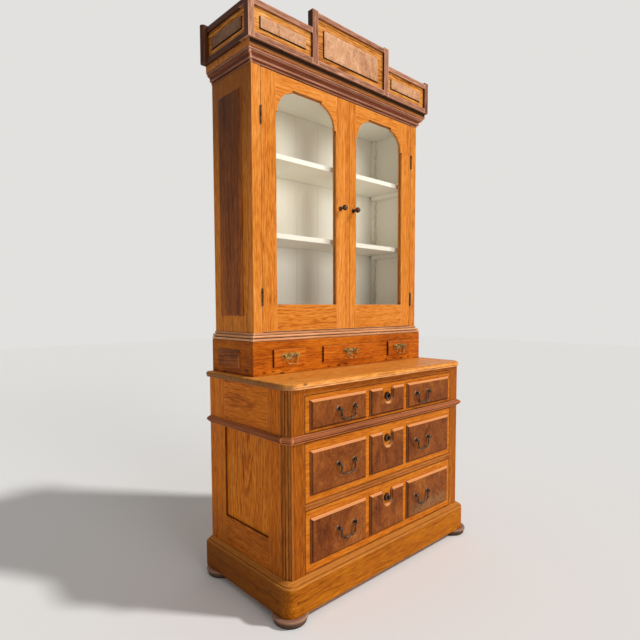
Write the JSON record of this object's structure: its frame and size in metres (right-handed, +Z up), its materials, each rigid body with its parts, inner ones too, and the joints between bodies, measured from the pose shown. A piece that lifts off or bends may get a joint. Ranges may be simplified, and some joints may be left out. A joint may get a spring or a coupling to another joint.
{
  "type": "haberdashery cabinet",
  "caption": "Two-stage oak and walnut haberdashery cabinet: long drawers below, small drawers at the waist, glazed shelved cupboard above, panelled parapet on top.",
  "frame": {"origin": "on the floor, under the middle of the whole cabinet's bounding box", "axes": "+Z up; the drawers and doors face -Y; +X to the right as seen from the front"},
  "size_m": [1.1602, 0.5766, 2.2785],
  "materials": {
    "oak": "waxed honey oak",
    "oak_countertop": "worn waxed oak",
    "red_oak_waist": "waxed reddish oak",
    "walnut": "waxed walnut",
    "pine_inside": "bare pine",
    "cream_paint": "old cream paint",
    "glass": "clear",
    "dark_bronze": "dark patinated bronze",
    "old_brass": "tarnished brass"
  },
  "bodies": {
    "cabinet": {"plinth": "oak", "bun_feet": "walnut", "front_posts": "oak", "corner_reeds": "walnut", "side_frames": "oak", "side_panels": "oak", "lower_back": "pine_inside", "drawer_rails": "oak", "drawer_runners": "pine_inside", "band_moulding": "walnut", "countertop": "oak_countertop", "waist_case": "red_oak_waist", "waist_moulding": "walnut", "applied_side_panels": "walnut", "upper_case": "oak", "upper_back": "cream_paint", "shelf_racks": "cream_paint", "shelves": "cream_paint", "cornice_moulding": "walnut", "top_board": "oak", "parapet_frame": "walnut", "parapet_fields": "oak", "parapet_panels": "walnut", "case_hinges": "dark_bronze"},
    "top_drawer": {"top_drawer_front": "oak", "top_drawer_box": "pine_inside", "top_drawer_panels": "walnut", "top_drawer_fittings": "dark_bronze"},
    "top_left_bail": {"top_left_bail": "dark_bronze"},
    "top_right_bail": {"top_right_bail": "dark_bronze"},
    "middle_drawer": {"middle_drawer_front": "oak", "middle_drawer_box": "pine_inside", "middle_drawer_panels": "walnut", "middle_drawer_fittings": "dark_bronze"},
    "middle_left_bail": {"middle_left_bail": "dark_bronze"},
    "middle_right_bail": {"middle_right_bail": "dark_bronze"},
    "bottom_drawer": {"bottom_drawer_front": "oak", "bottom_drawer_box": "pine_inside", "bottom_drawer_panels": "walnut", "bottom_drawer_fittings": "dark_bronze"},
    "bottom_left_bail": {"bottom_left_bail": "dark_bronze"},
    "bottom_right_bail": {"bottom_right_bail": "dark_bronze"},
    "small_left_drawer": {"small_left_drawer_front": "red_oak_waist", "small_left_drawer_box": "pine_inside", "small_left_pull_plate": "old_brass"},
    "small_left_bail": {"small_left_bail": "old_brass"},
    "small_centre_drawer": {"small_centre_drawer_front": "red_oak_waist", "small_centre_drawer_box": "pine_inside", "small_centre_pull_plate": "old_brass"},
    "small_centre_bail": {"small_centre_bail": "old_brass"},
    "small_right_drawer": {"small_right_drawer_front": "red_oak_waist", "small_right_drawer_box": "pine_inside", "small_right_pull_plate": "old_brass"},
    "small_right_bail": {"small_right_bail": "old_brass"},
    "left_door": {"left_door_frame": "oak", "left_door_glass": "glass", "left_door_metalwork": "dark_bronze"},
    "right_door": {"right_door_frame": "oak", "right_door_glass": "glass", "right_door_metalwork": "dark_bronze"}
  },
  "joints": [
    {"name": "top_drawer_slide", "type": "slide", "parent": "cabinet", "child": "top_drawer", "axis": [0, -1, 0], "range_m": [0, 0.35]},
    {"name": "top_left_bail_swing", "type": "hinge", "parent": "top_drawer", "child": "top_left_bail", "pos_m": [-0.258, -0.2642, 0.7325], "axis": [-1, 0, 0], "range_deg": [0, 90]},
    {"name": "top_right_bail_swing", "type": "hinge", "parent": "top_drawer", "child": "top_right_bail", "pos_m": [0.222, -0.2642, 0.7325], "axis": [-1, 0, 0], "range_deg": [0, 90]},
    {"name": "middle_drawer_slide", "type": "slide", "parent": "cabinet", "child": "middle_drawer", "axis": [0, -1, 0], "range_m": [0, 0.35]},
    {"name": "middle_left_bail_swing", "type": "hinge", "parent": "middle_drawer", "child": "middle_left_bail", "pos_m": [-0.258, -0.2642, 0.5255], "axis": [-1, 0, 0], "range_deg": [0, 90]},
    {"name": "middle_right_bail_swing", "type": "hinge", "parent": "middle_drawer", "child": "middle_right_bail", "pos_m": [0.222, -0.2642, 0.5255], "axis": [-1, 0, 0], "range_deg": [0, 90]},
    {"name": "bottom_drawer_slide", "type": "slide", "parent": "cabinet", "child": "bottom_drawer", "axis": [0, -1, 0], "range_m": [0, 0.35]},
    {"name": "bottom_left_bail_swing", "type": "hinge", "parent": "bottom_drawer", "child": "bottom_left_bail", "pos_m": [-0.258, -0.2642, 0.2785], "axis": [-1, 0, 0], "range_deg": [0, 90]},
    {"name": "bottom_right_bail_swing", "type": "hinge", "parent": "bottom_drawer", "child": "bottom_right_bail", "pos_m": [0.222, -0.2642, 0.2785], "axis": [-1, 0, 0], "range_deg": [0, 90]},
    {"name": "small_left_drawer_slide", "type": "slide", "parent": "cabinet", "child": "small_left_drawer", "axis": [0, -1, 0], "range_m": [0, 0.18]},
    {"name": "small_left_bail_swing", "type": "hinge", "parent": "small_left_drawer", "child": "small_left_bail", "pos_m": [-0.344, -0.0375, 0.9185], "axis": [-1, 0, 0], "range_deg": [0, 90]},
    {"name": "small_centre_drawer_slide", "type": "slide", "parent": "cabinet", "child": "small_centre_drawer", "axis": [0, -1, 0], "range_m": [0, 0.18]},
    {"name": "small_centre_bail_swing", "type": "hinge", "parent": "small_centre_drawer", "child": "small_centre_bail", "pos_m": [0, -0.0375, 0.9185], "axis": [-1, 0, 0], "range_deg": [0, 90]},
    {"name": "small_right_drawer_slide", "type": "slide", "parent": "cabinet", "child": "small_right_drawer", "axis": [0, -1, 0], "range_m": [0, 0.18]},
    {"name": "small_right_bail_swing", "type": "hinge", "parent": "small_right_drawer", "child": "small_right_bail", "pos_m": [0.344, -0.0375, 0.9185], "axis": [-1, 0, 0], "range_deg": [0, 90]},
    {"name": "left_door_hinge", "type": "hinge", "parent": "cabinet", "child": "left_door", "pos_m": [-0.46, -0.0045, 1.5], "axis": [0, 0, -1], "range_deg": [0, 110]},
    {"name": "right_door_hinge", "type": "hinge", "parent": "cabinet", "child": "right_door", "pos_m": [0.46, -0.0045, 1.5], "axis": [0, 0, 1], "range_deg": [0, 110]}
  ]
}
